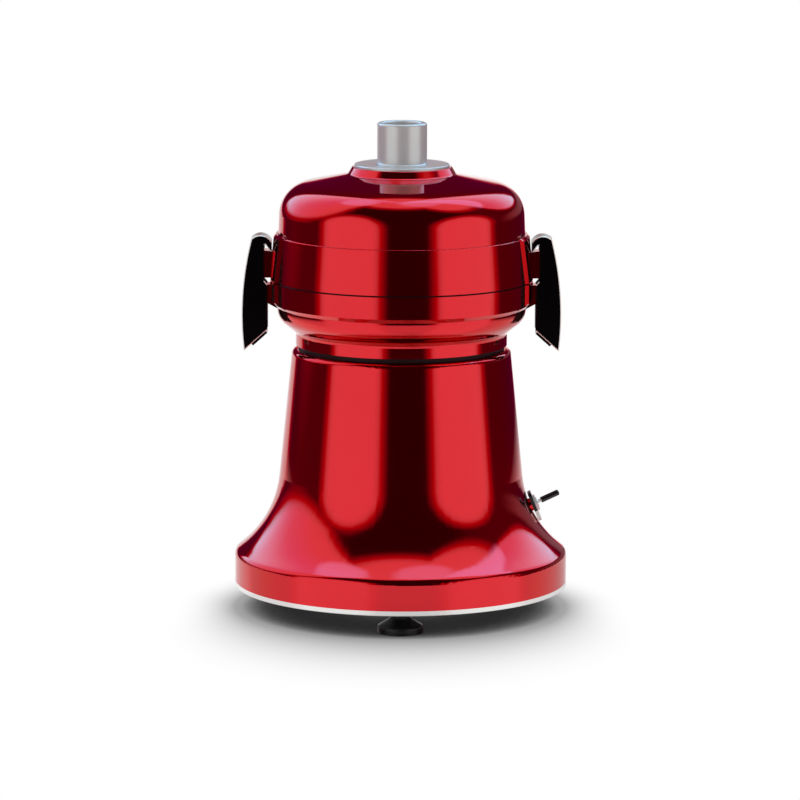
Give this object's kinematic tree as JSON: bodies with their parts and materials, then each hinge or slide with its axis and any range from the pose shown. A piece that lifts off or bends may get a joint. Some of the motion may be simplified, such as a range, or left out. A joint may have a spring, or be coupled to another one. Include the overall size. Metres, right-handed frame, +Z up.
{
  "type": "juice extractor",
  "caption": "Countertop centrifugal juice extractor: red bell base with motor, bowl with rear spout, domed lid with feed tube held by side latches, spinning grater and strainer basket.",
  "frame": {"origin": "where the spin axis meets the table that the feet stand on", "axes": "+Z up along the spin axis, +Y along the juice spout to the rear, +X to the switch"},
  "size_m": [0.258, 0.2811, 0.3791],
  "materials": {
    "red_paint": "high-gloss candy-red paint on cast metal",
    "satin_aluminium": "satin turned aluminium",
    "grey_casting": "as-cast aluminium",
    "can_aluminium": "drawn aluminium can",
    "black_rubber": "matt black rubber",
    "black_enamel": "gloss black enamel, edges polished bright",
    "black_plastic": "gloss black plastic",
    "dark_plastic": "matt dark plastic",
    "nickel": "bright nickel plating",
    "steel": "zinc-plated or ground steel",
    "stainless": "brushed stainless steel",
    "core_steel": "stacked steel laminations",
    "copper": "enamelled copper wire"
  },
  "bodies": {
    "base": {"base_housing": "red_paint", "base_plate": "satin_aluminium", "base_plate_screws": "steel", "bowl": "red_paint", "bowl_gasket": "black_rubber", "bowl_screws": "steel", "capacitor": "can_aluminium", "capacitor_clip": "steel", "cord_grommet": "black_rubber", "feed_tube": "satin_aluminium", "feed_tube_nut": "satin_aluminium", "feed_tube_washer": "black_rubber", "foot_front": "black_rubber", "foot_nuts": "steel", "foot_rear_left": "black_rubber", "foot_rear_right": "black_rubber", "foot_screws": "steel", "juice_spout": "satin_aluminium", "latch_pin_left": "black_enamel", "latch_pin_right": "black_enamel", "latch_spring_left": "steel", "latch_spring_right": "steel", "lid": "red_paint", "lid_gasket": "black_rubber", "lower_bearing_outer": "steel", "motor_bell": "grey_casting", "motor_bolts": "steel", "motor_lower_shield": "grey_casting", "shaft_seal": "black_rubber", "stator_core": "core_steel", "stator_winding": "copper", "switch_body": "dark_plastic", "switch_bush": "nickel", "switch_nut": "nickel", "switch_plate": "black_plastic", "upper_bearing_outer": "steel"},
    "rotor": {"motor_shaft": "steel", "rotor_core": "core_steel", "rotor_end_rings": "grey_casting", "cooling_fan": "dark_plastic", "fan_nut": "steel", "upper_bearing_inner": "steel", "upper_bearing_balls": "steel", "lower_bearing_inner": "steel", "lower_bearing_balls": "steel", "water_slinger": "black_rubber", "basket_hub": "satin_aluminium", "strainer_basket": "stainless", "grater_disc": "stainless", "basket_nut": "steel"},
    "latch_left": {"latch_lever_left": "black_enamel"},
    "latch_right": {"latch_lever_right": "black_enamel"},
    "toggle": {"toggle_lever": "nickel", "toggle_cap": "black_plastic"}
  },
  "joints": [
    {"name": "rotor_spin", "type": "hinge", "parent": "base", "child": "rotor", "pos_m": [0, 0, 0.24], "axis": [0, 0, 1], "continuous": true},
    {"name": "latch_left_swing", "type": "hinge", "parent": "base", "child": "latch_left", "pos_m": [-0.11, 0, 0.2455], "axis": [0, -1, 0], "range_deg": [0, 18], "stiffness_Nm_per_rad": 0.8, "springref_deg": -11.46, "deforming": ["latch_spring_left"]},
    {"name": "latch_right_swing", "type": "hinge", "parent": "base", "child": "latch_right", "pos_m": [0.11, 0, 0.2455], "axis": [0, 1, 0], "range_deg": [0, 18], "stiffness_Nm_per_rad": 0.8, "springref_deg": -11.46, "deforming": ["latch_spring_right"]},
    {"name": "toggle_switch", "type": "hinge", "parent": "base", "child": "toggle", "pos_m": [0.10456, 0, 0.08245], "axis": [0.3928, 0, -0.9196], "range_deg": [0, 24]}
  ]
}
